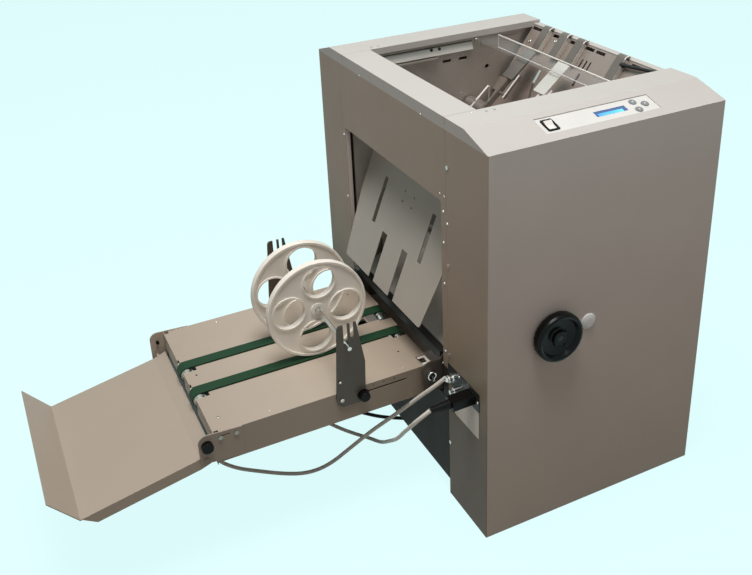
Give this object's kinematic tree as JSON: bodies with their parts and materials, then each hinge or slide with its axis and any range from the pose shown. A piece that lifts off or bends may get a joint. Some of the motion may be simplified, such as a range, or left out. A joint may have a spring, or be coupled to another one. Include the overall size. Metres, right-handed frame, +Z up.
{
  "type": "booklet folding machine",
  "caption": "Floor cabinet booklet folding machine with top infeed, control strip, handwheel, chute, belt conveyor with press wheels and a tilting catch tray.",
  "frame": {"origin": "on the floor under the middle of the cabinet's footprint", "axes": "+Z up, +X from the delivery conveyor towards the infeed side, +Y from the operator's side to the far side"},
  "size_m": [1.0882, 0.6405, 0.72],
  "materials": {
    "casing_paint": "satin powder coat, light warm grey",
    "panel_dark": "satin, dark grey brown",
    "zinc_steel": "dull zinc plate",
    "rubber_black": "matte",
    "dark_steel": "dark plated sheet",
    "black_paint": "satin black",
    "beige_paint": "satin, beige grey",
    "conveyor_paint": "satin powder coat, beige grey",
    "polished_steel": "bright ground steel",
    "zinc_dark": "dull machined",
    "fascia_white": "semi gloss film",
    "lcd_blue": "blue display behind a clear window",
    "switch_black": "matte",
    "switch_white": "semi gloss",
    "button_grey": "satin",
    "plate_black": "matte",
    "label_grey": "blank satin plate",
    "cap_white": "matte",
    "screw_zinc": "zinc",
    "socket_chrome": "bright",
    "knob_black": "matte moulding",
    "acrylic_clear": "clear acrylic",
    "belt_green": "matte fabric backed",
    "motor_black": "satin black",
    "wheel_white": "off white moulding",
    "cable_grey": "grey sheath",
    "cable_black": "matte black sheath"
  },
  "bodies": {
    "cabinet": {"base_plate": "zinc_steel", "rubber_feet": "rubber_black", "operator_cover": "casing_paint", "far_cover": "casing_paint", "outlet_panel": "casing_paint", "lower_panel": "panel_dark", "infeed_panel": "casing_paint", "frame_near": "zinc_steel", "frame_far": "zinc_steel", "tie_bars": "zinc_steel", "outlet_brackets": "dark_steel", "outlet_bar": "black_paint", "lower_guide": "zinc_steel", "chute_plate": "beige_paint", "infeed_plate": "zinc_steel", "infeed_arms": "polished_steel", "stitch_unit": "zinc_dark", "control_fascia": "fascia_white", "lcd_window": "lcd_blue", "switch_bezel": "switch_black", "inlet_plate": "plate_black", "blank_plate": "label_grey", "blank_cap": "cap_white", "cover_screws": "screw_zinc", "cable_socket": "socket_chrome", "motor_cable": "cable_grey", "mains_cable": "cable_grey", "inlet_plug": "cable_black", "control_cable": "cable_black", "mains_coil": "cable_grey", "wall_plug": "cable_black"},
    "handwheel": {"handwheel": "knob_black", "handwheel_shaft": "polished_steel"},
    "format_stop": {"format_stop": "polished_steel"},
    "rocker_switch": {"rocker_switch": "switch_white"},
    "button_left": {"button_left": "button_grey"},
    "button_right": {"button_right": "button_grey"},
    "button_lower": {"button_lower": "button_grey"},
    "acrylic_cover": {"acrylic_cover": "acrylic_clear"},
    "fold_roller_upper": {"fold_roller_upper": "zinc_dark"},
    "fold_roller_lower": {"fold_roller_lower": "zinc_dark"},
    "fold_knife": {"fold_knife": "polished_steel"},
    "conveyor": {"conveyor_table": "conveyor_paint", "conveyor_belts": "belt_green", "conveyor_motor": "motor_black", "end_sensor": "motor_black", "end_plates": "conveyor_paint", "conveyor_screws": "screw_zinc"},
    "drive_roller": {"drive_roller": "polished_steel"},
    "idler_roller": {"idler_roller": "polished_steel"},
    "tray_knob_near": {"tray_knob_near": "knob_black"},
    "tray_knob_far": {"tray_knob_far": "knob_black"},
    "catch_tray": {"catch_tray": "conveyor_paint"},
    "carriage": {"bracket_near": "dark_steel", "bracket_far": "dark_steel"},
    "clamp_knob_near": {"clamp_knob_near": "knob_black"},
    "clamp_knob_far": {"clamp_knob_far": "knob_black"},
    "axle": {"wheel_axle": "polished_steel"},
    "wheel_near": {"wheel_near": "wheel_white"},
    "wheel_far": {"wheel_far": "wheel_white"}
  },
  "joints": [
    {"name": "handwheel_turn", "type": "hinge", "parent": "cabinet", "child": "handwheel", "pos_m": [-0.0945, -0.321, 0.3725], "axis": [0, 1, 0], "range_deg": [-720, 720]},
    {"name": "format_stop_slide", "type": "slide", "parent": "cabinet", "child": "format_stop", "axis": [-0.6, 0, -0.8], "range_m": [-0.012, 0.012]},
    {"name": "rocker_turn", "type": "hinge", "parent": "cabinet", "child": "rocker_switch", "pos_m": [-0.0885, -0.27232, 0.70666], "axis": [1, 0, 0], "range_deg": [-24, 0]},
    {"name": "button_left_push", "type": "slide", "parent": "cabinet", "child": "button_left", "axis": [0, 0.2728, -0.9621], "range_m": [0, 0.001], "stiffness_N_per_m": 300, "springref_m": -0.0005},
    {"name": "button_right_push", "type": "slide", "parent": "cabinet", "child": "button_right", "axis": [0, 0.2728, -0.9621], "range_m": [0, 0.001], "stiffness_N_per_m": 300, "springref_m": -0.0005},
    {"name": "button_lower_push", "type": "slide", "parent": "cabinet", "child": "button_lower", "axis": [0, 0.2728, -0.9621], "range_m": [0, 0.001], "stiffness_N_per_m": 300, "springref_m": -0.0005},
    {"name": "acrylic_cover_hinge", "type": "hinge", "parent": "cabinet", "child": "acrylic_cover", "pos_m": [0.074, 0.007, 0.7], "axis": [0, 1, 0], "range_deg": [-95, 0]},
    {"name": "fold_roller_upper_spin", "type": "hinge", "parent": "cabinet", "child": "fold_roller_upper", "pos_m": [0.05902, 0.015, 0.57036], "axis": [0, 1, 0], "continuous": true},
    {"name": "fold_roller_lower_spin", "type": "hinge", "parent": "cabinet", "child": "fold_roller_lower", "pos_m": [0.03898, 0.015, 0.54364], "axis": [0, 1, 0], "continuous": true},
    {"name": "fold_knife_stroke", "type": "slide", "parent": "cabinet", "child": "fold_knife", "axis": [-0.8, 0, 0.6], "range_m": [0, 0.028]},
    {"name": "conveyor_hinge", "type": "hinge", "parent": "cabinet", "child": "conveyor", "pos_m": [-0.235, 0.015, 0.247], "axis": [0, 1, 0], "range_deg": [0, 12]},
    {"name": "drive_roller_spin", "type": "hinge", "parent": "conveyor", "child": "drive_roller", "pos_m": [-0.235, 0.015, 0.247], "axis": [0, 1, 0], "continuous": true},
    {"name": "idler_roller_spin", "type": "hinge", "parent": "conveyor", "child": "idler_roller", "pos_m": [-0.605, 0.015, 0.247], "axis": [0, 1, 0], "continuous": true},
    {"name": "tray_knob_near_turn", "type": "hinge", "parent": "conveyor", "child": "tray_knob_near", "pos_m": [-0.627, -0.154, 0.243], "axis": [0, 1, 0], "continuous": true},
    {"name": "tray_knob_far_turn", "type": "hinge", "parent": "conveyor", "child": "tray_knob_far", "pos_m": [-0.627, 0.184, 0.243], "axis": [0, 1, 0], "continuous": true},
    {"name": "catch_tray_tilt", "type": "hinge", "parent": "conveyor", "child": "catch_tray", "pos_m": [-0.63, 0.015, 0.216], "axis": [0, 1, 0], "range_deg": [-8, 25]},
    {"name": "carriage_slide", "type": "slide", "parent": "conveyor", "child": "carriage", "axis": [1, 0, 0], "range_m": [-0.03, 0.02]},
    {"name": "clamp_knob_near_turn", "type": "hinge", "parent": "carriage", "child": "clamp_knob_near", "pos_m": [-0.3585, -0.159, 0.2448], "axis": [0, 1, 0], "continuous": true},
    {"name": "clamp_knob_far_turn", "type": "hinge", "parent": "carriage", "child": "clamp_knob_far", "pos_m": [-0.3585, 0.189, 0.2448], "axis": [0, 1, 0], "continuous": true},
    {"name": "axle_lift", "type": "slide", "parent": "carriage", "child": "axle", "axis": [0, 0, 1], "range_m": [0, 0.03]},
    {"name": "wheel_near_spin", "type": "hinge", "parent": "axle", "child": "wheel_near", "pos_m": [-0.383, -0.025, 0.3513], "axis": [0, 1, 0], "continuous": true},
    {"name": "wheel_far_spin", "type": "hinge", "parent": "axle", "child": "wheel_far", "pos_m": [-0.383, 0.055, 0.3513], "axis": [0, 1, 0], "continuous": true}
  ],
  "couplings": [
    {"joint": "format_stop_slide", "follows": "handwheel_turn", "m_per_rad": 0.00095},
    {"joint": "fold_roller_lower_spin", "follows": "fold_roller_upper_spin", "ratio": -1},
    {"joint": "idler_roller_spin", "follows": "drive_roller_spin", "ratio": 1},
    {"joint": "wheel_near_spin", "follows": "drive_roller_spin", "ratio": -0.14917},
    {"joint": "wheel_far_spin", "follows": "drive_roller_spin", "ratio": -0.14917}
  ]
}
